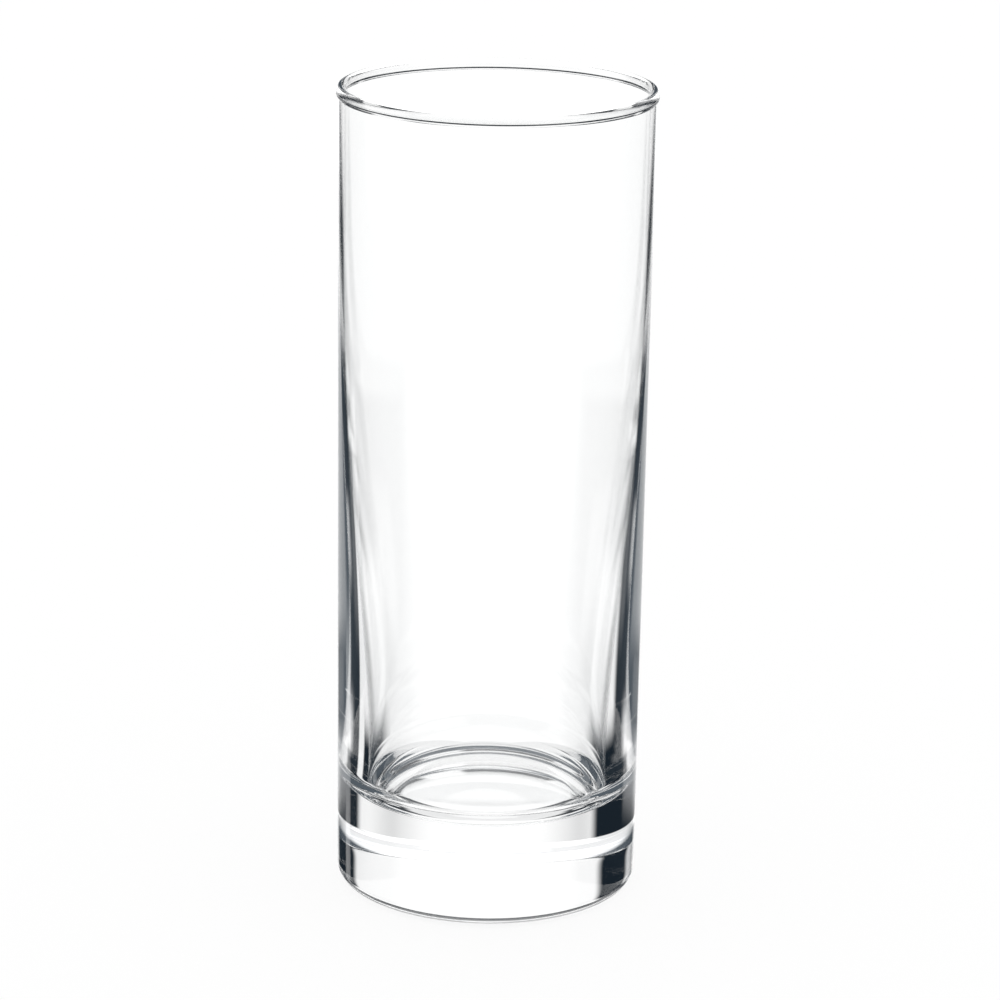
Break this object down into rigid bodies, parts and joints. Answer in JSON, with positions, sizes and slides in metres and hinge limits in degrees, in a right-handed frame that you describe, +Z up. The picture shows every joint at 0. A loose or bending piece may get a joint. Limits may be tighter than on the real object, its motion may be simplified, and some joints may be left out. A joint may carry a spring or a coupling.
{
  "type": "highball glass",
  "caption": "Tall straight-sided drinking glass in clear glass, with a beaded rim, a wall that thickens downwards and a heavy solid base with a dished floor.",
  "frame": {"origin": "middle of the flat ring that the glass stands on, at table height", "axes": "+Z up along the axis of the glass; X and Y are free, because the glass is round"},
  "size_m": [0.06, 0.06, 0.1557],
  "materials": {
    "clear_glass": "fire-polished clear soda-lime glass"
  },
  "bodies": {
    "root": {"tumbler": "clear_glass"}
  },
  "joints": []
}
